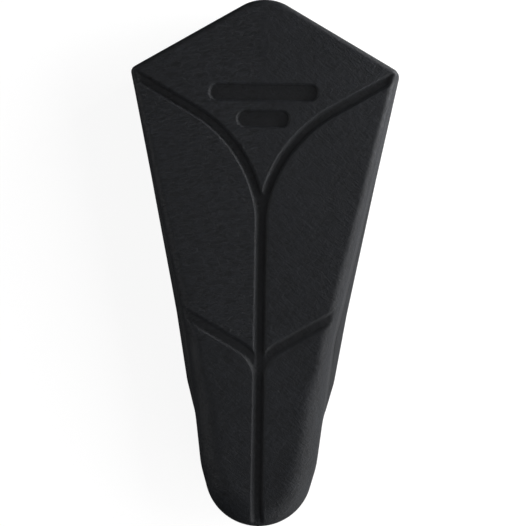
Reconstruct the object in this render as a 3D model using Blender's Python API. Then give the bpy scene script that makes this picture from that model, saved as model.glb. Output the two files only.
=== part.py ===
"""A pull buoy that doubles as a kickboard, laminated from three layers of closed-cell EVA foam.

It lies on its rear face: X runs across it, +Y points at the nose and +Z points out of the front
face. A front pad and a rear pad, moulded with shallow panel grooves, are glued to a core slab.
The core's edge stands proud of the pads along the middle of the body. Beside the tail it is cut
back between the two rounded lobes that the pads make there, which is where the thighs grip.
"""

import math
from functools import partial

import bmesh
import bpy
from mathutils import Matrix, Vector

# Overall size, in metres
LENGTH = 0.340
THICKNESS = 0.066
CORE_THICKNESS = 0.020
FILM_THICKNESS = 0.0004
GLUE_GAP = 0.0003
PAD_THICKNESS = (THICKNESS - CORE_THICKNESS) / 2 - FILM_THICKNESS - 2 * GLUE_GAP

# Outline corners of the right-hand side: (half width, station, corner radius).
# A station is a distance from the tail's end.
NOSE_APEX = (0.0, 0.3447)
SHOULDER = (0.0873, 0.2943, 0.0055)
PAD_HIP = (0.0720, 0.2250, 0.200)
PAD_KNEE = (0.0480, 0.1200, 0.090)
CORE_HIP = (0.0727, 0.2250, 0.200)
CORE_KNEE = (0.0553, 0.1380, 0.040)
CORE_STEP = (0.0477, 0.0935, 0.030)
CORE_STEP_END = (0.0428, 0.0762, 0.020)
TAIL_HIP = (0.0382, 0.0400, 0.060)
TAIL_END_SLOPE = 0.285

# Pad's edge: (station, width and height of its rounding, draft of the wall below it)
EDGE_ROUNDING = (
    (0.000, 0.0200, 0.0145, 0.0011),
    (0.024, 0.0160, 0.0145, 0.0011),
    (0.078, 0.0145, 0.0140, 0.0011),
    (0.109, 0.0096, 0.0100, 0.0012),
    (0.140, 0.0079, 0.0085, 0.0014),
    (0.226, 0.0054, 0.0063, 0.0017),
    (0.285, 0.0045, 0.0049, 0.0014),
    (0.300, 0.0033, 0.0036, 0.0011),
)
EDGE_STEPS = 6
CORE_EDGE_STEPS = 3

# Waist between the two lobes of the tail
WAIST_FULL_STATION = 0.061
WAIST_NONE_STATION = 0.077
LOBE_TUCK = 0.0040
CORE_WAIST_AT_FACE = 0.0045
CORE_WAIST_AT_MIDDLE = 0.0090
FILM_INSET = 0.0010

# Core's edge, (width, height): a small rounding, and a bevel where the core stands proud
CORE_PLAIN_EDGE = (0.0008, 0.0008)
CORE_PROUD_EDGE = (0.0038, 0.0050)
CORE_EDGE_POWER = 1.6

# Panel grooves: a centre groove, an upper pair from the shoulders and a lower pair
GROOVE_DEPTH = 0.0024
GROOVE_FLOOR = 0.0044
GROOVE_MOUTH = 0.0078
GROOVE_RUN_ANGLE = math.radians(30)
UPPER_GROOVE_RADIUS = 0.088
UPPER_GROOVE_END_STATION = 0.1913
UPPER_GROOVE_RUN = 0.075
LOWER_GROOVE_RADIUS = 0.025
LOWER_GROOVE_END_STATION = 0.0952
LOWER_GROOVE_RUN = 0.060
CENTRE_GROOVE_TOP_STATION = 0.212
CUTTER_REACH = 0.012

# Blank recessed bars on the front face's nose panel: (length, station)
EMBLEM_BARS = ((0.070, 0.2795), (0.034, 0.2625))
EMBLEM_BAR_WIDTH = 0.0110
EMBLEM_DEPTH = 0.0018

FOAM_BLACK = (0.017, 0.018, 0.020, 1.0)
CORE_BLACK = (0.013, 0.014, 0.016, 1.0)
GLUE_AMBER = (0.060, 0.045, 0.025, 1.0)


def clear_scene():
    for obj in list(bpy.data.objects):
        bpy.data.objects.remove(obj, do_unlink=True)


def material(name, colour, roughness):
    mat = bpy.data.materials.new(name)
    mat.use_nodes = True
    shader = mat.node_tree.nodes["Principled BSDF"]
    shader.inputs["Base Color"].default_value = colour
    shader.inputs["Roughness"].default_value = roughness
    shader.inputs["Metallic"].default_value = 0.0
    return mat


def smooth_between(value, low, high):
    """0 below low, 1 above high, and a smooth S between them."""
    t = min(max((value - low) / (high - low), 0.0), 1.0)
    return t * t * (3.0 - 2.0 * t)


def edge_rounding(station):
    """(width, height, draft) of the pad's edge at a station."""
    if station <= EDGE_ROUNDING[0][0]:
        return EDGE_ROUNDING[0][1:]
    for (low, *start), (high, *end) in zip(EDGE_ROUNDING, EDGE_ROUNDING[1:]):
        if station <= high:
            t = smooth_between(station, low, high)
            return tuple(a + (b - a) * t for a, b in zip(start, end))
    return EDGE_ROUNDING[-1][1:]


def rounded_outline(corners, longest=0.012, arc_step=math.radians(9)):
    """Samples a counter-clockwise polygon with rounded corners, as (point, outward normal) pairs."""
    arcs = []
    for i, (x, y, radius) in enumerate(corners):
        here = Vector((x, y))
        before = (here - Vector(corners[i - 1][:2])).normalized()
        after = (Vector(corners[(i + 1) % len(corners)][:2]) - here).normalized()
        turn = -before.angle_signed(after)
        side = math.copysign(1.0, turn)
        spoke = Vector((before.y, -before.x)) * side
        centre = here - before * (radius * math.tan(abs(turn) / 2)) - spoke * radius
        steps = 2 * max(1, math.ceil(abs(turn) / arc_step / 2))
        spokes = [Matrix.Rotation(turn * k / steps, 2) @ spoke for k in range(steps + 1)]
        arcs.append([(centre + s * radius, s * side) for s in spokes])
    samples = []
    for arc, following in zip(arcs, arcs[1:] + arcs[:1]):
        samples += arc
        (start, normal), (end, _) = arc[-1], following[0]
        pieces = math.ceil((end - start).length / longest)
        samples += [(start.lerp(end, k / pieces), normal) for k in range(1, pieces)]
    return samples


def tail_corner():
    """The tail's end as one rounded corner, with the radius that brings it to station 0."""
    crossing = TAIL_HIP[1] - TAIL_HIP[0] / TAIL_END_SLOPE
    sine = math.sin(math.atan(TAIL_END_SLOPE))
    return (0.0, crossing, -crossing * sine / (1.0 - sine))


def nose_corner():
    """The nose's tip as one rounded corner, with the radius that brings it to the full length."""
    edge = Vector(SHOULDER[:2]) - Vector(NOSE_APEX)
    overshoot = 1.0 / math.cos(math.atan2(-edge.y, edge.x)) - 1.0
    return (*NOSE_APEX, (NOSE_APEX[1] - LENGTH) / overshoot)


def both_sides(side_corners):
    """A whole outline from the corners between the tail's hip and the shoulder, on the right."""
    right = [TAIL_HIP, *side_corners, SHOULDER]
    left = [(-x, y, radius) for x, y, radius in reversed(right)]
    return rounded_outline([tail_corner(), *right, nose_corner(), *left])


def pad_outline():
    return both_sides([PAD_KNEE, PAD_HIP])


def core_outline():
    return both_sides([CORE_STEP_END, CORE_STEP, CORE_KNEE, CORE_HIP])


def waist(point, normal):
    """1 beside the tail, fading to 0 above it and round its end."""
    above = smooth_between(point.y, WAIST_FULL_STATION, WAIST_NONE_STATION)
    return (1.0 - above) * abs(normal.x)


def ring(outline, inset_and_height):
    """One closed ring of points. inset_and_height(point, normal) says how far in and how high."""
    points = []
    for point, normal in outline:
        inset, height = inset_and_height(point, normal)
        at = point - normal * inset
        points.append((at.x, at.y - LENGTH / 2, height))
    return points


def loft(name, rings, mat):
    """A closed body through rings of equal count, from the lowest to the highest."""
    bm = bmesh.new()
    levels = [[bm.verts.new(p) for p in points] for points in rings]
    for low, high in zip(levels, levels[1:]):
        for i in range(len(low)):
            j = (i + 1) % len(low)
            bm.faces.new((low[i], low[j], high[j], high[i]))
    bm.faces.new(reversed(levels[0]))
    bm.faces.new(levels[-1])
    return finished_object(name, bm, mat)


def finished_object(name, bm, mat=None):
    mesh = bpy.data.meshes.new(name)
    bm.to_mesh(mesh)
    bm.free()
    mesh.shade_smooth()
    mesh.set_sharp_from_angle(angle=math.radians(35))
    obj = bpy.data.objects.new(name, mesh)
    bpy.context.scene.collection.objects.link(obj)
    if mat:
        mesh.materials.append(mat)
    return obj


def pad_wall(share, point, normal):
    """The lower wall, from the glue face (share 0) to where the edge's rounding starts (share 1)."""
    _, height, draft = edge_rounding(point.y)
    tuck = LOBE_TUCK * waist(point, normal) * (1.0 - math.sqrt(1.0 - (1.0 - share) ** 2))
    return draft * share + tuck, (PAD_THICKNESS - height) * share


def pad_rounding(angle, point, normal):
    """The rounded edge, from the wall (angle 0) to the flat face (a right angle)."""
    width, height, draft = edge_rounding(point.y)
    inset = draft + width * (1.0 - math.cos(angle))
    return inset, PAD_THICKNESS - height * (1.0 - math.sin(angle))


def foam_pad(name, mat):
    """A pad in its own frame: its glue face lies at z = 0 and its moulded face looks along +Z."""
    outline = pad_outline()
    sections = [partial(pad_wall, share) for share in (0.0, 0.2, 0.55)]
    sections += [
        partial(pad_rounding, math.pi / 2 * step / EDGE_STEPS) for step in range(EDGE_STEPS + 1)
    ]
    return loft(name, [ring(outline, section) for section in sections], mat)


def prism(name, outline, low, high):
    """A plain cutter with upright walls over an outline."""
    rings = [ring(outline, lambda point, normal, z=z: (0.0, z)) for z in (low, high)]
    return loft(name, rings, None)


def groove_cutter(name, route):
    """A trough with sloping walls that follows a route of (x, station) points at the pad's face."""
    slope = (GROOVE_MOUTH - GROOVE_FLOOR) / 2 / GROOVE_DEPTH
    top_half = GROOVE_MOUTH / 2 + slope * CUTTER_REACH
    section = (
        (-GROOVE_FLOOR / 2, PAD_THICKNESS - GROOVE_DEPTH),
        (GROOVE_FLOOR / 2, PAD_THICKNESS - GROOVE_DEPTH),
        (top_half, PAD_THICKNESS + CUTTER_REACH),
        (-top_half, PAD_THICKNESS + CUTTER_REACH),
    )
    points = [Vector(p) for p in route]
    bm = bmesh.new()
    levels = []
    for i, point in enumerate(points):
        along = (points[min(i + 1, len(points) - 1)] - points[max(i - 1, 0)]).normalized()
        across = Vector((along.y, -along.x))
        row = [point + across * offset for offset, _ in section]
        heights = [height for _, height in section]
        levels.append([bm.verts.new((p.x, p.y - LENGTH / 2, z)) for p, z in zip(row, heights)])
    for first, second in zip(levels, levels[1:]):
        for i in range(len(section)):
            j = (i + 1) % len(section)
            bm.faces.new((first[i], first[j], second[j], second[i]))
    bm.faces.new(levels[0])
    bm.faces.new(levels[-1])
    bmesh.ops.recalc_face_normals(bm, faces=bm.faces)
    return finished_object(name, bm)


def curved_route(side, radius, end_station, run):
    """A straight run down from the body's edge, then an arc that ends along the centre line."""
    turn = math.pi / 2 - GROOVE_RUN_ANGLE
    steps = math.ceil(turn / math.radians(8))
    arc = [turn * k / steps for k in range(steps + 1)]
    route = [(radius * (1 - math.cos(a)), end_station + radius * math.sin(a)) for a in arc]
    x, station = route[-1]
    run_start = (
        x + run * math.cos(GROOVE_RUN_ANGLE),
        station + run * math.sin(GROOVE_RUN_ANGLE),
    )
    return [(side * x, station) for x, station in [*route, run_start]]


def cut(target, cutter):
    cutter.hide_render = True
    cutter.display_type = "WIRE"
    cutter.parent = target
    boolean = target.modifiers.new(cutter.name, "BOOLEAN")
    boolean.operation = "DIFFERENCE"
    boolean.solver = "EXACT"
    boolean.object = cutter


def cut_panel_grooves(pad):
    centre = [(0.0, -CUTTER_REACH), (0.0, CENTRE_GROOVE_TOP_STATION)]
    cut(pad, groove_cutter(f"{pad.name}_centre_groove_cutter", centre))
    for label, side in (("right", 1), ("left", -1)):
        upper = curved_route(
            side, UPPER_GROOVE_RADIUS, UPPER_GROOVE_END_STATION, UPPER_GROOVE_RUN
        )
        lower = curved_route(
            side, LOWER_GROOVE_RADIUS, LOWER_GROOVE_END_STATION, LOWER_GROOVE_RUN
        )
        cut(pad, groove_cutter(f"{pad.name}_{label}_upper_groove_cutter", upper))
        cut(pad, groove_cutter(f"{pad.name}_{label}_lower_groove_cutter", lower))


def cut_emblem(pad):
    """Two plain bars with round ends, one above the other."""
    half_width = EMBLEM_BAR_WIDTH / 2
    for number, (length, station) in enumerate(EMBLEM_BARS, start=1):
        x, low, high = length / 2, station - half_width, station + half_width
        radius = half_width * 0.999
        corners = [(-x, low, radius), (x, low, radius), (x, high, radius), (-x, high, radius)]
        outline = rounded_outline(corners, longest=length, arc_step=math.radians(22.5))
        floor = PAD_THICKNESS - EMBLEM_DEPTH
        cutter = prism(
            f"{pad.name}_emblem_bar_{number}_cutter", outline, floor, PAD_THICKNESS + EMBLEM_DEPTH
        )
        cut(pad, cutter)


def core_edge(station):
    """(width, height) of the core's edge: it is bevelled where the core stands proud of the pads."""
    proud = smooth_between(station, CORE_STEP_END[1], CORE_STEP[1])
    proud *= 1.0 - smooth_between(station, CORE_KNEE[1], CORE_HIP[1])
    return tuple(a + (b - a) * proud for a, b in zip(CORE_PLAIN_EDGE, CORE_PROUD_EDGE))


def core_section(side, angle, share, point, normal):
    """The slab's edge on its upper (side 1) or lower (side -1) half.

    share runs from 0 at the middle height to 1 where the edge starts, and angle turns from 0 there
    to a right angle on the flat face.
    """
    half = CORE_THICKNESS / 2
    width, rise = core_edge(point.y)
    height = (half - rise) * share + rise * math.sin(angle) ** CORE_EDGE_POWER
    hollow = CORE_WAIST_AT_FACE - CORE_WAIST_AT_MIDDLE
    depth = CORE_WAIST_AT_MIDDLE + hollow * (height / half) ** 2
    edge_inset = width * (1.0 - max(math.cos(angle), 0.0) ** CORE_EDGE_POWER)
    return depth * waist(point, normal) + edge_inset, side * height


def foam_core(name, mat):
    outline = core_outline()
    upper = [(0.0, share) for share in (0.4, 0.8)]
    upper += [(math.pi / 2 * step / CORE_EDGE_STEPS, 1.0) for step in range(CORE_EDGE_STEPS + 1)]
    lower = [(-1, *section) for section in reversed(upper)]
    sections = [*lower, (1, 0.0, 0.0), *((1, *section) for section in upper)]
    return loft(name, [ring(outline, partial(core_section, *s)) for s in sections], mat)


def adhesive_film(name, mat):
    """The cured contact adhesive between the core and a pad, a little short of their edges."""
    outline = pad_outline()

    def section(height, point, normal):
        return FILM_INSET + CORE_WAIST_AT_FACE * waist(point, normal), height

    heights = (-FILM_THICKNESS / 2, FILM_THICKNESS / 2)
    return loft(name, [ring(outline, partial(section, z)) for z in heights], mat)


def main():
    clear_scene()
    foam = material("black_eva_foam", FOAM_BLACK, 0.62)
    core_foam = material("core_eva_foam", CORE_BLACK, 0.70)
    glue = material("contact_adhesive", GLUE_AMBER, 0.35)

    body = bpy.data.objects.new("pull_buoy", None)
    bpy.context.scene.collection.objects.link(body)
    middle = THICKNESS / 2
    film_offset = CORE_THICKNESS / 2 + GLUE_GAP + FILM_THICKNESS / 2
    pad_offset = CORE_THICKNESS / 2 + FILM_THICKNESS + 2 * GLUE_GAP

    front_pad = foam_pad("front_foam_pad", foam)
    cut_panel_grooves(front_pad)
    cut_emblem(front_pad)
    rear_pad = foam_pad("rear_foam_pad", foam)
    cut_panel_grooves(rear_pad)
    rear_pad.rotation_euler.y = math.pi

    placed = (
        (front_pad, middle + pad_offset),
        (adhesive_film("front_adhesive_film", glue), middle + film_offset),
        (foam_core("foam_core", core_foam), middle),
        (adhesive_film("rear_adhesive_film", glue), middle - film_offset),
        (rear_pad, middle - pad_offset),
    )
    for layer, height in placed:
        layer.location.z = height
        layer.parent = body


main()
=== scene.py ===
"""Looks of the foam pull buoy: moulded pads with soft grooves, a cut core and a studio for them.

Plan coordinates are (x, station): a station is a distance from the tail's end along +Y. The
outline, edges and waist repeat the CAD design. The grooves and bars follow its lines, with soft
walls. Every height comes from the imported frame.
"""

import math

import bpy
import numpy as np
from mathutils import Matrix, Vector
from mathutils.geometry import delaunay_2d_cdt


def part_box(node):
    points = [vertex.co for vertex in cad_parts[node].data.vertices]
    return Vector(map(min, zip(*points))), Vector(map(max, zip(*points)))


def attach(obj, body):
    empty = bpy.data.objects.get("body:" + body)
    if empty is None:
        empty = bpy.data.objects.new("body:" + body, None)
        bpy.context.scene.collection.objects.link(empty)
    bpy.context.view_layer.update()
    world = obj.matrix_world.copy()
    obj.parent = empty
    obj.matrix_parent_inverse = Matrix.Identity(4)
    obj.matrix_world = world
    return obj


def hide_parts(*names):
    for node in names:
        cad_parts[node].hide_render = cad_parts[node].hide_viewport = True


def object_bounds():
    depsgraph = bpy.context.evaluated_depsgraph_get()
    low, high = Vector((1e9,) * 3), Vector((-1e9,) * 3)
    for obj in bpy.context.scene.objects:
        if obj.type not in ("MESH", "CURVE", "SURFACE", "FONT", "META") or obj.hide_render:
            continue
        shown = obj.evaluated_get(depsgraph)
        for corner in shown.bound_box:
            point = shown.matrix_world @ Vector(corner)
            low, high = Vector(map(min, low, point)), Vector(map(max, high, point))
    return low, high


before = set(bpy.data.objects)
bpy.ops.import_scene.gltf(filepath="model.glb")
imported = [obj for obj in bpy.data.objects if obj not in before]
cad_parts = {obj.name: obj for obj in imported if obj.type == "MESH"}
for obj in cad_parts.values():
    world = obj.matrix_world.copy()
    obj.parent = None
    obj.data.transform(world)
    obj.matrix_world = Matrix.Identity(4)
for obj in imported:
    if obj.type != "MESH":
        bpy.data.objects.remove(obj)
CAD_LOW, CAD_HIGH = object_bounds()

# Outline, as in the CAD design: (half width, station, corner radius), in metres
NOSE_APEX = (0.0, 0.3447)
SHOULDER = (0.0873, 0.2943, 0.0055)
PAD_HIP = (0.0720, 0.2250, 0.200)
PAD_KNEE = (0.0480, 0.1200, 0.090)
CORE_HIP = (0.0727, 0.2250, 0.200)
CORE_KNEE = (0.0553, 0.1380, 0.040)
CORE_STEP = (0.0477, 0.0935, 0.030)
CORE_STEP_END = (0.0428, 0.0762, 0.020)
TAIL_HIP = (0.0382, 0.0400, 0.060)
TAIL_END_SLOPE = 0.285
LENGTH = CAD_HIGH[1] - CAD_LOW[1]

# Pad's edge: (station, width and height of its rounding, draft of the wall below it)
EDGE_ROUNDING = (
    (0.000, 0.0200, 0.0145, 0.0011),
    (0.024, 0.0160, 0.0145, 0.0011),
    (0.078, 0.0145, 0.0140, 0.0011),
    (0.109, 0.0096, 0.0100, 0.0012),
    (0.140, 0.0079, 0.0085, 0.0014),
    (0.226, 0.0054, 0.0063, 0.0017),
    (0.285, 0.0045, 0.0049, 0.0014),
    (0.300, 0.0033, 0.0036, 0.0011),
)

# Waist between the lobes of the tail
WAIST_FULL_STATION = 0.061
WAIST_NONE_STATION = 0.077
LOBE_TUCK = 0.0040
CORE_WAIST_AT_FACE = 0.0045
CORE_WAIST_AT_MIDDLE = 0.0090
FILM_INSET = 0.0010

# Grooves. For the centre, the upper and the lower ones: distances from the centre line to the foot
# and the lip of the soft wall, the insets from the outline between which the groove fades out, and
# the share of the full depth that it reaches
GROOVE_DEPTH = 0.0024
GROOVE_WALLS = ((0.0018, 0.0044), (0.0014, 0.0040), (0.0016, 0.0043))
GROOVE_FADES = ((0.0015, 0.0075), (0.0015, 0.0075), (0.0020, 0.0090))
GROOVE_FULLNESS = (1.0, 1.0, 0.72)
CENTRE_GROOVE_TOP_STATION = 0.212

# A bent groove leaves the centre groove in an arc and ends in a straight run at this angle to X.
# Each is (radius of the arc, station where it starts, length of the run)
GROOVE_RUN_ANGLE = math.radians(30)
GROOVE_TURN = math.pi / 2 - GROOVE_RUN_ANGLE
UPPER_GROOVE = (0.088, 0.1913, 0.080)
LOWER_GROOVE = (0.025, 0.0952, 0.060)

# Blank recessed bars: (length, station). The lip and the foot of their soft wall are distances
# outwards from the rim
EMBLEM_BARS = ((0.070, 0.2795), (0.034, 0.2625))
EMBLEM_BAR_HALF = 0.0055
EMBLEM_DEPTH = 0.0018
EMBLEM_LIP = 0.0005
EMBLEM_FOOT = -0.0011

# Small edges. The core's are (width, height): square-cut, and bevelled where it stands proud
RIM_ROUNDING = 0.00025
JOINT_CLEARANCE = 0.00005
GLUE_FACE_PAST_FILM = 0.0001
GLUE_FACE_INSIDE_RIM = 0.0002
CORE_PLAIN_EDGE = (0.0008, 0.0008)
CORE_PROUD_EDGE = (0.0038, 0.0050)
CORE_EDGE_POWER = 1.6
SHARP_ANGLE = math.radians(50)

# Mesh density. Rows of points run beside the grooves and round the bars. Rings of points run round
# the outline: up the wall at shares of its height, then round the edge to where the face starts
OUTLINE_STEP = 0.00075
ROW_STEP = 0.0007
ROW_OFFSETS = (0.0010, 0.0018, 0.00225, 0.0027, 0.00315, 0.0036, 0.00405, 0.0045, 0.0051)
CENTRE_ROWS_START_STATION = -0.005
CREST_REACH = (0.006, 0.020)
CREST_STEP = 0.0005
EMBLEM_ROWS = 8
EMBLEM_ROWS_PAST = (0.0012, 0.0004)
FILL_STEP = 0.0035
SAME_POINT = 0.00025
ROW_TOLERANCE = SAME_POINT / 6
RIM_ANGLES = np.radians((0, 30, 60))
WALL_SHARES = (0.0, 0.06, 0.14, 0.24, 0.36, 0.5, 0.65, 0.82)
EDGE_ANGLES = np.radians((0, 7, 14))
FIELD_START = math.radians(20)
FIELD_RINGS = 10
CORE_HOLLOW_STEPS = 7
CORE_EDGE_STEPS = 7
POINTS_AT_ONCE = 4000

# Colours and finishes. A colour runs from the dark to the light end of its blotches
SKIN_DARK, SKIN_LIGHT = (0.0076, 0.0086, 0.0108), (0.0098, 0.0110, 0.0138)
CORE_DARK, CORE_LIGHT = (0.0076, 0.0086, 0.0104), (0.0104, 0.0114, 0.0138)
GLUE_DARK, GLUE_LIGHT = (0.030, 0.022, 0.012), (0.085, 0.062, 0.034)
FLOOR_DARK, FLOOR_LIGHT = (0.23, 0.23, 0.23), (0.25, 0.25, 0.25)
FOAM_SPECULAR = 0.30
SKIN_ROUGHNESS = (0.48, 0.64)
CORE_ROUGHNESS = 0.60
GLUE_ROUGHNESS = (0.28, 0.5)
FLOOR_ROUGHNESS, FLOOR_SPECULAR, FLOOR_GLOW = 0.9, 0.1, 0.88

# Texture of the skin: streaks (angle, scale, stretch), crossed all over but swept one way on the
# left above the lower grooves, then the noise scales and the depths of the relief. A spread is the
# range of a noise that counts, and a shade is the range of brightness that it gives
HATCH_STREAKS = ((math.radians(42), 480.0, 0.30), (math.radians(-47), 480.0, 0.30))
SWEPT_STREAKS = (math.radians(-11), 500.0, 0.42)
SWEPT_X_FROM, SWEPT_X_FULL = 0.002, -0.004
SWEPT_Y_FROM, SWEPT_Y_FULL = -0.062, -0.045
SKIN_BLOTCH_SCALE = 28.0
SPECKLE_SCALE = 1100.0
PEBBLE_SCALE = 1300.0
STREAK_DEPTH = 0.00075
PEBBLE_DEPTH = 0.00012
SKIN_BLOTCH_SPREAD = (0.30, 0.72)
STREAK_SPREAD, STREAK_SHADE = (0.32, 0.68), (0.50, 1.50)
SPECKLE_SPREAD, SPECKLE_SHADE = (0.3, 0.7), (0.70, 1.30)
# Painted shade: the base colour of the groove and bar floors is scaled down to this share, standing
# in for the shade that falls in them
RECESS_PAINTED_SHADE = 0.60
RECESS_ADDED_ROUGHNESS = 0.16

# Texture of the cut core, of the glue and of the floor
CELL_SCALE = 1400.0
CELL_DEPTH = 0.00012
CELL_SPREAD, CELL_SHADE = (0.1, 0.7), (1.15, 0.80)
CORE_BLOTCH_SCALE = 60.0
CORE_BLOTCH_SPREAD = (0.30, 0.72)
BLADE_SCALE, BLADE_STRETCH = 700.0, (0.05, 0.05, 1.0)
BLADE_DEPTH = 0.00010
GLUE_SCALE = 260.0
GLUE_DEPTH = 0.00008
GLUE_COLOUR_SPREAD, GLUE_ROUGH_SPREAD = (0.30, 0.75), (0.3, 0.7)
FLOOR_BLOTCH_SCALE = 1.5

# Lights: (name, elevation, azimuth, distance, size, power). Azimuth 0 is +X and 90 is +Y
LIGHTS = (
    ("key_right", 12.0, -40.0, 1.5, (1.6, 1.0), 17.5),
    ("high_right", 42.0, 3.0, 1.5, (0.8, 0.8), 9.8),
    ("near_right", 12.0, 33.0, 0.45, (0.35, 0.15), 3.1),
    ("fill_left", 25.0, 172.0, 1.5, (1.2, 1.2), 9.4),
)

# Strength of the surrounding light: all round, and low on the right as a pale ground would give
WORLD_DIM, WORLD_BRIGHT = 0.05, 1.16
WORLD_LOWEST = -0.2
BACKDROP = 1.0
FLOOR_SIZE = 12.0

# Camera: the framed height is in lengths of the object, and the target is off its middle
CAMERA_DISTANCE = 1.6
CAMERA_FRAMED_LENGTHS = 1.0077
CAMERA_SENSOR = 36.0
CAMERA_TILT, CAMERA_ROLL = math.radians(2.0), math.radians(0.92)
CAMERA_TARGET = (0.0002, 0.0005)


def smooth_between(value, low, high):
    """0 below low, 1 above high, and a smooth S between them. Takes numbers or arrays."""
    t = np.clip((value - low) / (high - low), 0.0, 1.0)
    return t * t * (3.0 - 2.0 * t)


def edge_rounding(station):
    """(widths, heights, drafts) of the pad's edge at an array of stations."""
    stops = np.array(EDGE_ROUNDING)
    after = np.clip(np.searchsorted(stops[:, 0], station), 1, len(stops) - 1)
    low, high = stops[after - 1], stops[after]
    share = smooth_between(station, low[:, 0], high[:, 0])[:, None]
    sizes = low[:, 1:] + (high[:, 1:] - low[:, 1:]) * share
    return sizes.T


def tail_corner():
    """The corner whose arc ends the tail at station 0, from the slope of the sides beside it."""
    crossing = TAIL_HIP[1] - TAIL_HIP[0] / TAIL_END_SLOPE
    sine = math.sin(math.atan(TAIL_END_SLOPE))
    return (0.0, crossing, -crossing * sine / (1.0 - sine))


def nose_corner():
    """The corner whose arc ends the nose at the full length."""
    run, rise = SHOULDER[0] - NOSE_APEX[0], NOSE_APEX[1] - SHOULDER[1]
    overshoot = math.hypot(run, rise) / run - 1.0
    return (*NOSE_APEX, (NOSE_APEX[1] - LENGTH) / overshoot)


def rounded_outline(side_corners, step):
    """(points, outward normals) round a mirrored outline, counter-clockwise from the tail."""
    right = [TAIL_HIP, *side_corners, SHOULDER]
    left = [(-x, y, radius) for x, y, radius in reversed(right)]
    corners = [tail_corner(), *right, nose_corner(), *left]
    arcs = []
    for i, (x, y, radius) in enumerate(corners):
        here = np.array((x, y))
        before = here - corners[i - 1][:2]
        after = corners[(i + 1) % len(corners)][:2] - here
        before, after = before / np.linalg.norm(before), after / np.linalg.norm(after)
        turn = math.atan2(before[0] * after[1] - before[1] * after[0], before @ after)
        side = math.copysign(1.0, turn)
        first = math.atan2(-before[0] * side, before[1] * side)
        centre = here - before * radius * math.tan(abs(turn) / 2)
        centre = centre - radius * np.array((math.cos(first), math.sin(first)))
        steps = 2 * max(1, math.ceil(abs(turn) * radius / step / 2))
        angles = first + turn * np.arange(steps + 1) / steps
        spokes = np.stack([np.cos(angles), np.sin(angles)], 1)
        arcs.append((centre + radius * spokes, spokes * side))
    points, normals = [], []
    for (arc, spokes), (following, _) in zip(arcs, arcs[1:] + arcs[:1]):
        points.append(arc)
        normals.append(spokes)
        pieces = max(2, math.ceil(np.linalg.norm(following[0] - arc[-1]) / step))
        shares = np.arange(1, pieces)[:, None] / pieces
        points.append(arc[-1] + (following[0] - arc[-1]) * shares)
        normals.append(np.repeat(spokes[-1:], pieces - 1, 0))
    return np.concatenate(points), np.concatenate(normals)


def waist(points, normals):
    """1 beside the tail, fading to 0 above it and round its end."""
    above = smooth_between(points[:, 1], WAIST_FULL_STATION, WAIST_NONE_STATION)
    return (1.0 - above) * np.abs(normals[:, 0])


def bent_groove_distance(points, groove):
    """Distance from points to a groove's arc and straight run, on both sides of the axis."""
    radius, arc_station, run = groove
    x, y = np.abs(points[:, 0]), points[:, 1]
    dx, dy = x - radius, y - arc_station
    angle = np.arctan2(dy, -dx)
    on_arc = np.abs(np.hypot(dx, dy) - radius)
    start_x = radius * (1 - math.cos(GROOVE_TURN))
    start_y = arc_station + radius * math.sin(GROOVE_TURN)
    ahead = (math.cos(GROOVE_RUN_ANGLE), math.sin(GROOVE_RUN_ANGLE))
    along = np.clip((x - start_x) * ahead[0] + (y - start_y) * ahead[1], 0.0, run)
    on_run = np.hypot(x - start_x - along * ahead[0], y - start_y - along * ahead[1])
    before = np.hypot(x, dy)
    return np.where(angle < 0, before, np.where(angle <= GROOVE_TURN, on_arc, on_run))


def groove_distances(points):
    """Distances from points to the centre, upper and lower grooves' centre lines."""
    above = np.maximum(points[:, 1] - CENTRE_GROOVE_TOP_STATION, 0.0)
    centre = np.hypot(points[:, 0], above)
    upper = bent_groove_distance(points, UPPER_GROOVE)
    lower = bent_groove_distance(points, LOWER_GROOVE)
    return np.stack([centre, upper, lower])


def groove_distance(points):
    """Distance from points to the nearest groove's centre line."""
    return groove_distances(points).min(0)


def groove_share(points, inset):
    """Share of the full depth: 0 on the panels, up to 1 on a floor, fading towards the outline."""
    shares = []
    kinds = zip(groove_distances(points), GROOVE_WALLS, GROOVE_FADES, GROOVE_FULLNESS)
    for distance, (foot, lip), fade, fullness in kinds:
        wall = 1.0 - smooth_between(distance, foot, lip)
        shares.append(fullness * wall * smooth_between(inset, *fade))
    return np.max(shares, axis=0)


def bar_distance(points, bar):
    """Signed distance from a bar's rim, negative inside it."""
    length, station = bar
    reach = length / 2 - EMBLEM_BAR_HALF
    dx = np.maximum(np.abs(points[:, 0]) - reach, 0.0)
    return np.hypot(dx, points[:, 1] - station) - EMBLEM_BAR_HALF


def emblem_share(points):
    """1 on the floor of an emblem bar and 0 outside the bars."""
    nearest = np.min([bar_distance(points, bar) for bar in EMBLEM_BARS], axis=0)
    return 1.0 - smooth_between(nearest, EMBLEM_FOOT, EMBLEM_LIP)


def groove_lines():
    """(points, normals) along every groove's centre line."""
    stations = np.arange(CENTRE_ROWS_START_STATION, CENTRE_GROOVE_TOP_STATION, ROW_STEP)
    centre = np.stack([np.zeros(len(stations)), stations], 1)
    yield centre, np.tile((1.0, 0.0), (len(centre), 1))
    for radius, arc_station, run in (UPPER_GROOVE, LOWER_GROOVE):
        angles = np.linspace(0.0, GROOVE_TURN, math.ceil(GROOVE_TURN * radius / ROW_STEP))
        x, y = radius * (1 - np.cos(angles)), arc_station + radius * np.sin(angles)
        arc = np.stack([x, y], 1)
        normals = np.stack([np.cos(angles), -np.sin(angles)], 1)
        ahead = np.array((math.cos(GROOVE_RUN_ANGLE), math.sin(GROOVE_RUN_ANGLE)))
        straight = arc[-1] + ahead * np.arange(ROW_STEP, run, ROW_STEP)[:, None]
        line = np.concatenate([arc, straight])
        normals = np.concatenate([normals, np.repeat(normals[-1:], len(straight), 0)])
        for side in (1.0, -1.0):
            mirror = np.array((side, 1.0))
            yield line * mirror, normals * mirror


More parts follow.
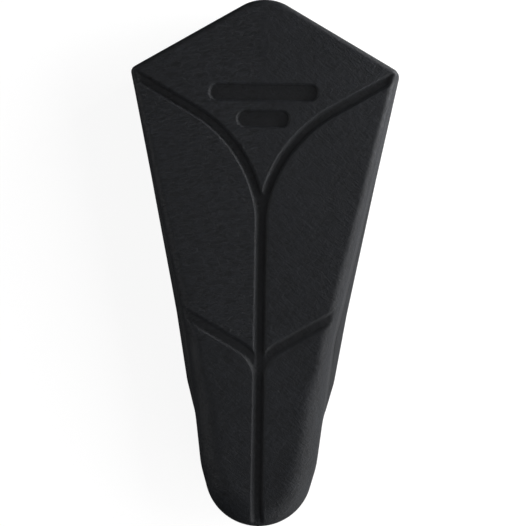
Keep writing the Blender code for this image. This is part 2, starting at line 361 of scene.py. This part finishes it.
def groove_rows():
    """Rows beside each groove's centre line, kept where that groove is nearest, and the crest's.

    The crest is the ridge between the upper grooves where they leave the centre one.
    """
    kept = []
    offsets = (0.0, *ROW_OFFSETS, *(-offset for offset in ROW_OFFSETS))
    for line, normals in groove_lines():
        for offset in offsets:
            row = line + normals * offset
            own = np.abs(groove_distance(row) - abs(offset)) < ROW_TOLERANCE
            kept.append(row[own])
    below, above = CREST_REACH
    crest = np.arange(
        CENTRE_GROOVE_TOP_STATION - below, CENTRE_GROOVE_TOP_STATION + above, CREST_STEP
    )
    kept.append(np.stack([np.zeros(len(crest)), crest], 1))
    return np.concatenate(kept)


def emblem_rows():
    """Rows of plan points round each bar, from its floor out to its lip, and along its middle."""
    rows = []
    inside, outside = EMBLEM_ROWS_PAST
    for length, station in EMBLEM_BARS:
        reach = length / 2 - EMBLEM_BAR_HALF
        for offset in np.linspace(EMBLEM_FOOT - inside, EMBLEM_LIP + outside, EMBLEM_ROWS):
            radius = EMBLEM_BAR_HALF + offset
            xs = np.arange(-reach, reach, ROW_STEP)
            angles = np.arange(-math.pi / 2, math.pi / 2, ROW_STEP / EMBLEM_BAR_HALF)
            cap = np.stack([reach + radius * np.cos(angles), radius * np.sin(angles)], 1)
            bottom = np.stack([xs, np.full(len(xs), -radius)], 1)
            ring = np.concatenate([bottom, cap])
            rows += [ring + (0, station), -ring + (0, station)]
        xs = np.arange(-reach, reach, 3 * ROW_STEP)
        rows.append(np.stack([xs, np.full(len(xs), station)], 1))
    return np.concatenate(rows)


def nearest_on_outline(points, outline, normals):
    """(inset from the outline, station of the nearest outline point, its normal)."""
    inset, index = np.empty(len(points)), np.empty(len(points), int)
    for start in range(0, len(points), POINTS_AT_ONCE):
        part = slice(start, start + POINTS_AT_ONCE)
        gap = points[part, None, :] - outline[None, :, :]
        index[part] = np.argmin((gap**2).sum(2), axis=1)
    offset = outline[index] - points
    inset = (offset * normals[index]).sum(1)
    return inset, outline[index, 1], normals[index]


def edge_section(angle, station):
    """(inset, drop below the flat face, outward share and upward share of the surface's normal)."""
    width, height, draft = edge_rounding(station)
    out, up = np.cos(angle) / width, np.sin(angle) / height
    size = np.hypot(out, up)
    drop = height * (1.0 - np.sin(angle))
    return draft + width * (1.0 - np.cos(angle)), drop, out / size, up / size


def field_angle(inset, station):
    """The edge's angle at an inset: a right angle on the flat face."""
    width, _, draft = edge_rounding(station)
    return np.arccos(np.clip(1.0 - (inset - draft) / width, 0.0, 1.0))


def thinned(points, taken):
    """The points with only one left in each small cell, and none in a cell that is taken."""
    cells = np.round(np.concatenate([taken, points]) / SAME_POINT).astype(int)
    _, first = np.unique(cells, axis=0, return_index=True)
    kept = np.sort(first[first >= len(taken)]) - len(taken)
    return points[kept]


def field_points(outline, normals, with_emblem):
    """Plan points of the pad's face: its boundary ring, then the grooves, bars, edge and fill."""
    station = outline[:, 1]
    rings = []
    for angle in np.linspace(FIELD_START, math.pi / 2, FIELD_RINGS):
        inset = edge_section(angle, station)[0]
        rings.append(outline - normals * inset[:, None])
    boundary = rings[0]
    grooves = groove_rows()
    edge = np.concatenate(rings[1:])
    edge = edge[groove_distance(edge) > ROW_OFFSETS[-1] + ROW_STEP / 2]
    emblem = emblem_rows() if with_emblem else np.empty((0, 2))
    half = SHOULDER[0]
    xs = np.arange(-half, half, FILL_STEP)
    ys = np.arange(0.0, LENGTH, FILL_STEP)
    fill = np.stack(np.meshgrid(xs, ys), -1).reshape(-1, 2)
    fill = fill[groove_distance(fill) > ROW_OFFSETS[-1] + FILL_STEP / 2]
    if with_emblem:
        near = np.min([bar_distance(fill, bar) for bar in EMBLEM_BARS], axis=0)
        fill = fill[near > FILL_STEP / 2]
    inner = np.concatenate([grooves, emblem, edge, fill])
    inset, near_station, _ = nearest_on_outline(inner, outline, normals)
    least = edge_section(FIELD_START, near_station)[0]
    inner = inner[inset > least + SAME_POINT]
    return boundary, thinned(inner, boundary)


def joined_rings(rows):
    """Quads between each ring of point numbers and the next one."""
    quads = []
    for low, high in zip(rows, rows[1:]):
        for i in range(len(low)):
            j = (i + 1) % len(low)
            quads.append((low[i], low[j], high[j], high[i]))
    return quads


def pad_levels(outline, normals, rim_drop, thickness):
    """Rings of points from the glue face round the rim, up the wall and into the rounded edge."""
    station = outline[:, 1]
    tuck = LOBE_TUCK * waist(outline, normals)
    _, edge_height, draft = edge_rounding(station)
    levels = []

    def add_level(inset, z):
        at = outline - normals * inset[:, None]
        levels.append(np.column_stack([at, np.broadcast_to(z, len(outline))]))

    film_edge = FILM_INSET + CORE_WAIST_AT_FACE * waist(outline, normals)
    inside_rim = tuck + RIM_ROUNDING + GLUE_FACE_INSIDE_RIM
    glue_inset = np.maximum(film_edge - GLUE_FACE_PAST_FILM, inside_rim)
    add_level(glue_inset, 0.0)
    add_level(glue_inset, -rim_drop)
    for angle in RIM_ANGLES:
        inset = tuck + RIM_ROUNDING * (1.0 - math.sin(angle))
        add_level(inset, -rim_drop + RIM_ROUNDING * (1.0 - math.cos(angle)))
    for share in WALL_SHARES:
        curve = tuck * (1.0 - math.sqrt(1.0 - (1.0 - share) ** 2))
        add_level(draft * share + curve, (thickness - edge_height) * share)
    for angle in EDGE_ANGLES:
        inset, drop, _, _ = edge_section(angle, station)
        add_level(inset, thickness - drop)
    return levels


def pad_mesh(with_emblem, rim_drop, thickness):
    """The pad in its own frame: glue face at z = 0, moulded face at z = thickness."""
    outline, normals = rounded_outline([PAD_KNEE, PAD_HIP], OUTLINE_STEP)
    count = len(outline)
    levels = pad_levels(outline, normals, rim_drop, thickness)
    boundary, inner = field_points(outline, normals, with_emblem)
    plan = np.concatenate([boundary, inner])
    ring = [list(range(count))]
    out = delaunay_2d_cdt([Vector(p) for p in plan], [], ring, 1, 1e-7)
    where, faces, sources = np.array([tuple(v) for v in out[0]]), out[2], out[3]
    inset, near_station, near_normal = nearest_on_outline(where, outline, normals)
    angle = field_angle(inset, near_station)
    _, drop, outward, upward = edge_section(angle, near_station)
    groove = groove_share(where, inset)
    emblem = emblem_share(where) if with_emblem else np.zeros(len(where))
    sunk = GROOVE_DEPTH * groove + EMBLEM_DEPTH * emblem
    top = np.column_stack(
        [where - near_normal * (outward * sunk)[:, None], thickness - drop - upward * sunk]
    )

    first_top = count * len(levels)
    points = np.concatenate([*levels, top])
    on_ring = {}
    for i, source in enumerate(sources):
        for s in source:
            if s < count:
                on_ring[s] = first_top + i
    last = [on_ring[i] for i in range(count)]
    rows = [list(range(k * count, (k + 1) * count)) for k in range(len(levels))] + [last]
    polygons = [list(reversed(rows[0])), *joined_rings(rows)]
    polygons += [[first_top + v for v in face] for face in faces]
    # recess marks the groove and bar floors: it drives painted shade in the skin's colour and a
    # rougher finish there
    recess = np.concatenate([np.zeros(first_top), np.maximum(groove, emblem)])
    return points, polygons, recess


def place_mesh(name, shape, height, turned=False):
    """An object with its own zero at a height. turned lays it on its other side."""
    points, polygons, recess = shape
    points = points - (0.0, LENGTH / 2, 0.0)
    if turned:
        points = points * (-1.0, 1.0, -1.0)
    points = points + (0.0, 0.0, height)
    mesh = bpy.data.meshes.new(name)
    mesh.from_pydata(points.tolist(), [], polygons)
    # The recess attribute carries the painted shade of the grooves and bars into the material
    mesh.attributes.new("recess", "FLOAT", "POINT").data.foreach_set("value", recess)
    mesh.shade_smooth()
    mesh.set_sharp_from_angle(angle=SHARP_ANGLE)
    obj = bpy.data.objects.new(name, mesh)
    bpy.context.scene.collection.objects.link(obj)
    return obj


def core_mesh(thickness):
    """The core slab about its own middle height."""
    corners = [CORE_STEP_END, CORE_STEP, CORE_KNEE, CORE_HIP]
    outline, normals = rounded_outline(corners, 2 * OUTLINE_STEP)
    station, amount = outline[:, 1], waist(outline, normals)
    half = thickness / 2
    proud = smooth_between(station, CORE_STEP_END[1], CORE_STEP[1])
    proud = proud * (1.0 - smooth_between(station, CORE_KNEE[1], CORE_HIP[1]))
    width, rise = (
        plain + (bevelled - plain) * proud
        for plain, bevelled in zip(CORE_PLAIN_EDGE, CORE_PROUD_EDGE)
    )
    sections = [(0.0, share) for share in np.linspace(0.0, 1.0, CORE_HOLLOW_STEPS + 1)]
    edge_angles = np.linspace(0.0, math.pi / 2, CORE_EDGE_STEPS + 1)
    sections += [(angle, 1.0) for angle in edge_angles[1:]]
    sections = [(-1, *s) for s in reversed(sections[1:])] + [(1, *s) for s in sections]
    fall = CORE_WAIST_AT_FACE - CORE_WAIST_AT_MIDDLE
    points = []
    for side, angle, share in sections:
        z = (half - rise) * share + rise * math.sin(angle) ** CORE_EDGE_POWER
        hollow = CORE_WAIST_AT_MIDDLE + fall * (z / half) ** 2
        flat_share = max(math.cos(angle), 0.0) ** CORE_EDGE_POWER
        inset = hollow * amount + width * (1.0 - flat_share)
        points.append(np.column_stack([outline - normals * inset[:, None], side * z]))
    count = len(outline)
    rows = [list(range(k * count, (k + 1) * count)) for k in range(len(sections))]
    polygons = [list(reversed(rows[0])), rows[-1], *joined_rings(rows)]
    points = np.concatenate(points)
    return points, polygons, np.zeros(len(points))


class Nodes:
    """Short calls for building the node tree of a material or a world."""

    def __init__(self, owner, shader="Principled BSDF"):
        owner.use_nodes = True
        self.tree = owner.node_tree
        self.shader = self.tree.nodes[shader]

    def link(self, source, target):
        self.tree.links.new(source, target)

    def add(self, kind, **settings):
        node = self.tree.nodes.new(kind)
        for key, value in settings.items():
            setattr(node, key, value)
        return node

    def coordinates(self, scale=(1, 1, 1), turn=0.0):
        """The object's own coordinates, turned about Z and then scaled."""
        vector = self.add("ShaderNodeTexCoord").outputs["Object"]
        for key, value in (("Rotation", (0, 0, turn)), ("Scale", scale)):
            mapping = self.add("ShaderNodeMapping")
            mapping.inputs[key].default_value = value
            self.link(vector, mapping.inputs["Vector"])
            vector = mapping.outputs["Vector"]
        return vector

    def noise(self, vector, scale, detail=3.0, roughness=0.5, distortion=0.0):
        node = self.add("ShaderNodeTexNoise")
        node.inputs["Scale"].default_value = scale
        node.inputs["Detail"].default_value = detail
        node.inputs["Roughness"].default_value = roughness
        node.inputs["Distortion"].default_value = distortion
        self.link(vector, node.inputs["Vector"])
        return node.outputs["Fac"]

    def remap(self, value, low, high, to_low, to_high):
        """value carried from low and high onto to_low and to_high, and held between them."""
        node = self.add("ShaderNodeMapRange")
        node.inputs["From Min"].default_value = low
        node.inputs["From Max"].default_value = high
        node.inputs["To Min"].default_value = to_low
        node.inputs["To Max"].default_value = to_high
        self.link(value, node.inputs["Value"])
        return node.outputs["Result"]

    def math(self, operation, first, second, factor=None):
        """first and second combined, then multiplied by factor where one is given."""
        node = self.add("ShaderNodeMath", operation=operation)
        self.link(first, node.inputs[0])
        self.link(second, node.inputs[1])
        if factor is None:
            return node.outputs["Value"]
        scale = self.add("ShaderNodeMath", operation="MULTIPLY")
        scale.inputs[1].default_value = factor
        self.link(node.outputs["Value"], scale.inputs[0])
        return scale.outputs["Value"]

    def mix(self, first, second, share):
        """first where share is 0 and second, an output or a plain number, where it is 1."""
        node = self.add("ShaderNodeMix")
        self.link(share, node.inputs["Factor"])
        self.link(first, node.inputs["A"])
        if isinstance(second, float):
            node.inputs["B"].default_value = second
        else:
            self.link(second, node.inputs["B"])
        return node.outputs["Result"]

    def axis(self, vector, name):
        node = self.add("ShaderNodeSeparateXYZ")
        self.link(vector, node.inputs["Vector"])
        return node.outputs[name]

    def scaled(self, colour, factor):
        node = self.add("ShaderNodeVectorMath", operation="SCALE")
        self.link(colour, node.inputs["Vector"])
        self.link(factor, node.inputs["Scale"])
        return node.outputs["Vector"]

    def streaks(self, turn, scale, stretch):
        """Long uneven streaks. turn is the angle that brings their direction onto X."""
        vector = self.coordinates((stretch, 1.0, 1.0), turn)
        return self.noise(vector, scale, detail=4.0, roughness=0.62, distortion=0.9)

    def bump(self, height, distance, after=None):
        """A normal bent by height, on top of the bump given as after."""
        node = self.add("ShaderNodeBump")
        node.inputs["Strength"].default_value = 1.0
        node.inputs["Distance"].default_value = distance
        self.link(height, node.inputs["Height"])
        if after is not None:
            self.link(after, node.inputs["Normal"])
        return node.outputs["Normal"]

    def ramp(self, value, spread, colours):
        """The first colour at the low end of the spread and the second at its high end."""
        node = self.add("ShaderNodeValToRGB")
        for element, position, colour in zip(node.color_ramp.elements, spread, colours):
            element.position, element.color = position, (*colour, 1.0)
        self.link(value, node.inputs["Fac"])
        return node.outputs["Color"]


def pad_material():
    """Closed-cell EVA foam with a moulded skin: hatched, blotchy, with painted shade darkening its
    recesses.
    """
    material = bpy.data.materials.new("eva_foam_skin")
    nodes = Nodes(material)
    plain = nodes.coordinates()
    diagonal, crossing = (nodes.streaks(*streaks) for streaks in HATCH_STREAKS)
    hatch = nodes.math("ADD", diagonal, crossing, 0.5)
    sweeps = nodes.streaks(*SWEPT_STREAKS)
    left = nodes.remap(nodes.axis(plain, "X"), SWEPT_X_FROM, SWEPT_X_FULL, 0.0, 1.0)
    upper = nodes.remap(nodes.axis(plain, "Y"), SWEPT_Y_FROM, SWEPT_Y_FULL, 0.0, 1.0)
    relief = nodes.mix(hatch, sweeps, nodes.math("MULTIPLY", left, upper))

    blotches = nodes.noise(plain, SKIN_BLOTCH_SCALE, detail=4.0, roughness=0.55)
    speckle = nodes.noise(plain, SPECKLE_SCALE, roughness=0.6)
    colour = nodes.ramp(blotches, SKIN_BLOTCH_SPREAD, (SKIN_DARK, SKIN_LIGHT))
    # Painted shade: the recess mask darkens the colour in the grooves and bars, where shade would
    # fall; it also adds roughness there
    recess = nodes.add("ShaderNodeAttribute", attribute_name="recess").outputs["Fac"]
    shade = nodes.remap(relief, *STREAK_SPREAD, *STREAK_SHADE)
    shade = nodes.math("MULTIPLY", shade, nodes.remap(recess, 0.0, 1.0, 1.0, RECESS_PAINTED_SHADE))
    shade = nodes.math("MULTIPLY", shade, nodes.remap(speckle, *SPECKLE_SPREAD, *SPECKLE_SHADE))
    nodes.link(nodes.scaled(colour, shade), nodes.shader.inputs["Base Color"])
    rough = nodes.remap(speckle, *SPECKLE_SPREAD, *SKIN_ROUGHNESS)
    added = nodes.remap(recess, 0.0, 1.0, 0.0, RECESS_ADDED_ROUGHNESS)
    rough = nodes.math("ADD", rough, added)
    nodes.link(rough, nodes.shader.inputs["Roughness"])
    nodes.shader.inputs["Specular IOR Level"].default_value = FOAM_SPECULAR
    pebble = nodes.noise(plain, PEBBLE_SCALE, roughness=0.6)
    normal = nodes.bump(pebble, PEBBLE_DEPTH, nodes.bump(relief, STREAK_DEPTH))
    nodes.link(normal, nodes.shader.inputs["Normal"])
    return material


def core_material():
    """The same foam cut from a sheet: matt, with open cells and faint marks of the blade."""
    material = bpy.data.materials.new("eva_foam_core")
    nodes = Nodes(material)
    plain = nodes.coordinates()
    cells = nodes.add("ShaderNodeTexVoronoi")
    cells.inputs["Scale"].default_value = CELL_SCALE
    nodes.link(plain, cells.inputs["Vector"])
    blotches = nodes.noise(plain, CORE_BLOTCH_SCALE, detail=4.0, roughness=0.55)
    colour = nodes.ramp(blotches, CORE_BLOTCH_SPREAD, (CORE_DARK, CORE_LIGHT))
    shade = nodes.remap(cells.outputs["Distance"], *CELL_SPREAD, *CELL_SHADE)
    nodes.link(nodes.scaled(colour, shade), nodes.shader.inputs["Base Color"])
    nodes.shader.inputs["Roughness"].default_value = CORE_ROUGHNESS
    nodes.shader.inputs["Specular IOR Level"].default_value = FOAM_SPECULAR
    blade = nodes.noise(nodes.coordinates(BLADE_STRETCH), BLADE_SCALE, detail=2.0)
    marks = nodes.bump(blade, BLADE_DEPTH)
    normal = nodes.bump(cells.outputs["Distance"], CELL_DEPTH, marks)
    nodes.link(normal, nodes.shader.inputs["Normal"])
    return material


def glue_material():
    """Cured contact adhesive: dark amber, uneven and slightly glossy."""
    material = bpy.data.materials.new("cured_adhesive")
    nodes = Nodes(material)
    plain = nodes.coordinates()
    streaks = nodes.noise(plain, GLUE_SCALE, detail=4.0, roughness=0.6, distortion=0.6)
    colour = nodes.ramp(streaks, GLUE_COLOUR_SPREAD, (GLUE_DARK, GLUE_LIGHT))
    nodes.link(colour, nodes.shader.inputs["Base Color"])
    rough = nodes.remap(streaks, *GLUE_ROUGH_SPREAD, *GLUE_ROUGHNESS)
    nodes.link(rough, nodes.shader.inputs["Roughness"])
    nodes.link(nodes.bump(streaks, GLUE_DEPTH), nodes.shader.inputs["Normal"])
    return material


def floor_material():
    """Pale and even, with a glow of its own that keeps the object's shadow faint."""
    material = bpy.data.materials.new("pale_floor")
    nodes = Nodes(material)
    tone = nodes.noise(nodes.coordinates(), FLOOR_BLOTCH_SCALE, detail=2.0)
    colour = nodes.ramp(tone, (0.0, 1.0), (FLOOR_DARK, FLOOR_LIGHT))
    nodes.link(colour, nodes.shader.inputs["Base Color"])
    nodes.shader.inputs["Roughness"].default_value = FLOOR_ROUGHNESS
    nodes.shader.inputs["Specular IOR Level"].default_value = FLOOR_SPECULAR
    nodes.shader.inputs["Emission Color"].default_value = (1.0, 1.0, 1.0, 1.0)
    nodes.shader.inputs["Emission Strength"].default_value = FLOOR_GLOW
    return material


def build_object():
    """The two pads and the core in place of their CAD solids, and the glue on the two films."""
    front_low, front_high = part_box("front_foam_pad")
    _, rear_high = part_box("rear_foam_pad")
    core_low, core_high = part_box("foam_core")
    thickness = front_high.z - front_low.z
    rim_drop = front_low.z - core_high.z - JOINT_CLEARANCE
    skin, cut = pad_material(), core_material()

    front_shape = pad_mesh(True, rim_drop, thickness)
    rear_shape = pad_mesh(False, rim_drop, thickness)
    core_shape = core_mesh(core_high.z - core_low.z)
    core_middle = (core_low.z + core_high.z) / 2
    front = place_mesh("front_pad_foam", front_shape, front_low.z)
    rear = place_mesh("rear_pad_foam", rear_shape, rear_high.z, turned=True)
    core = place_mesh("core_foam_slab", core_shape, core_middle)
    pieces = (
        (front, "front_foam_pad", skin, "pad_foam"),
        (rear, "rear_foam_pad", skin, "pad_foam"),
        (core, "foam_core", cut, "core_foam"),
    )
    for piece, node, material, slot in pieces:
        piece.data.materials.append(material)
        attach(piece, "root")
        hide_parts(node)
    glue = glue_material()
    for node in ("front_adhesive_film", "rear_adhesive_film"):
        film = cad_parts[node]
        film.data.materials.clear()
        film.data.materials.append(glue)


def area_light(name, elevation, azimuth, distance, size, power):
    """A soft box aimed at the object and hidden from the camera. Angles are in degrees."""
    rise, turn = math.radians(elevation), math.radians(azimuth)
    flat = math.cos(rise)
    place = distance * Vector((flat * math.cos(turn), flat * math.sin(turn), math.sin(rise)))
    data = bpy.data.lights.new(name, "AREA")
    data.shape = "RECTANGLE"
    data.size, data.size_y = size
    data.energy = power
    light = bpy.data.objects.new(name, data)
    light.location = place
    light.rotation_euler = (-place).to_track_quat("-Z", "Y").to_euler()
    light.visible_camera = False
    bpy.context.scene.collection.objects.link(light)


def build_world():
    """Dim all round and bright low on the right, with a white backdrop for the camera alone."""
    world = bpy.data.worlds.new("studio")
    nodes = Nodes(world, "Background")
    direction = nodes.add("ShaderNodeTexCoord").outputs["Generated"]
    right = nodes.remap(nodes.axis(direction, "X"), 0.0, 1.0, 0.0, 1.0)
    below = nodes.remap(nodes.axis(direction, "Z"), 0.0, WORLD_LOWEST, 0.0, 1.0)
    glow = nodes.remap(nodes.math("MULTIPLY", right, below), 0.0, 1.0, WORLD_DIM, WORLD_BRIGHT)
    camera_ray = nodes.add("ShaderNodeLightPath").outputs["Is Camera Ray"]
    strength = nodes.mix(glow, BACKDROP, camera_ray)
    nodes.shader.inputs["Color"].default_value = (1.0, 1.0, 1.0, 1.0)
    nodes.link(strength, nodes.shader.inputs["Strength"])
    bpy.context.scene.world = world


def build_studio():
    """The floor that the object lies on, the lights and the world."""
    bpy.ops.mesh.primitive_plane_add(size=FLOOR_SIZE, location=(0.0, 0.0, CAD_LOW[2]))
    floor = bpy.context.object
    floor.name = "studio_floor"
    floor.data.materials.append(floor_material())
    floor.visible_diffuse = False
    floor.visible_glossy = False
    for light in LIGHTS:
        area_light(*light)
    build_world()
    bpy.context.scene.view_settings.view_transform = "Standard"


def build_camera():
    """Above the front face and a little to its right, rolled so that the nose leans right."""
    middle = (CAD_LOW[2] + CAD_HIGH[2]) / 2
    data = bpy.data.cameras.new("photo_camera")
    data.sensor_width = CAMERA_SENSOR
    data.lens = CAMERA_SENSOR * CAMERA_DISTANCE / (LENGTH * CAMERA_FRAMED_LENGTHS)
    camera = bpy.data.objects.new("photo_camera", data)
    towards = Vector((math.sin(CAMERA_TILT), 0.0, math.cos(CAMERA_TILT)))
    camera.location = Vector((*CAMERA_TARGET, middle)) + CAMERA_DISTANCE * towards
    camera.rotation_mode = "ZYX"
    camera.rotation_euler = (0.0, CAMERA_TILT, CAMERA_ROLL)
    bpy.context.scene.collection.objects.link(camera)
    bpy.context.scene.camera = camera


build_object()
build_studio()
build_camera()
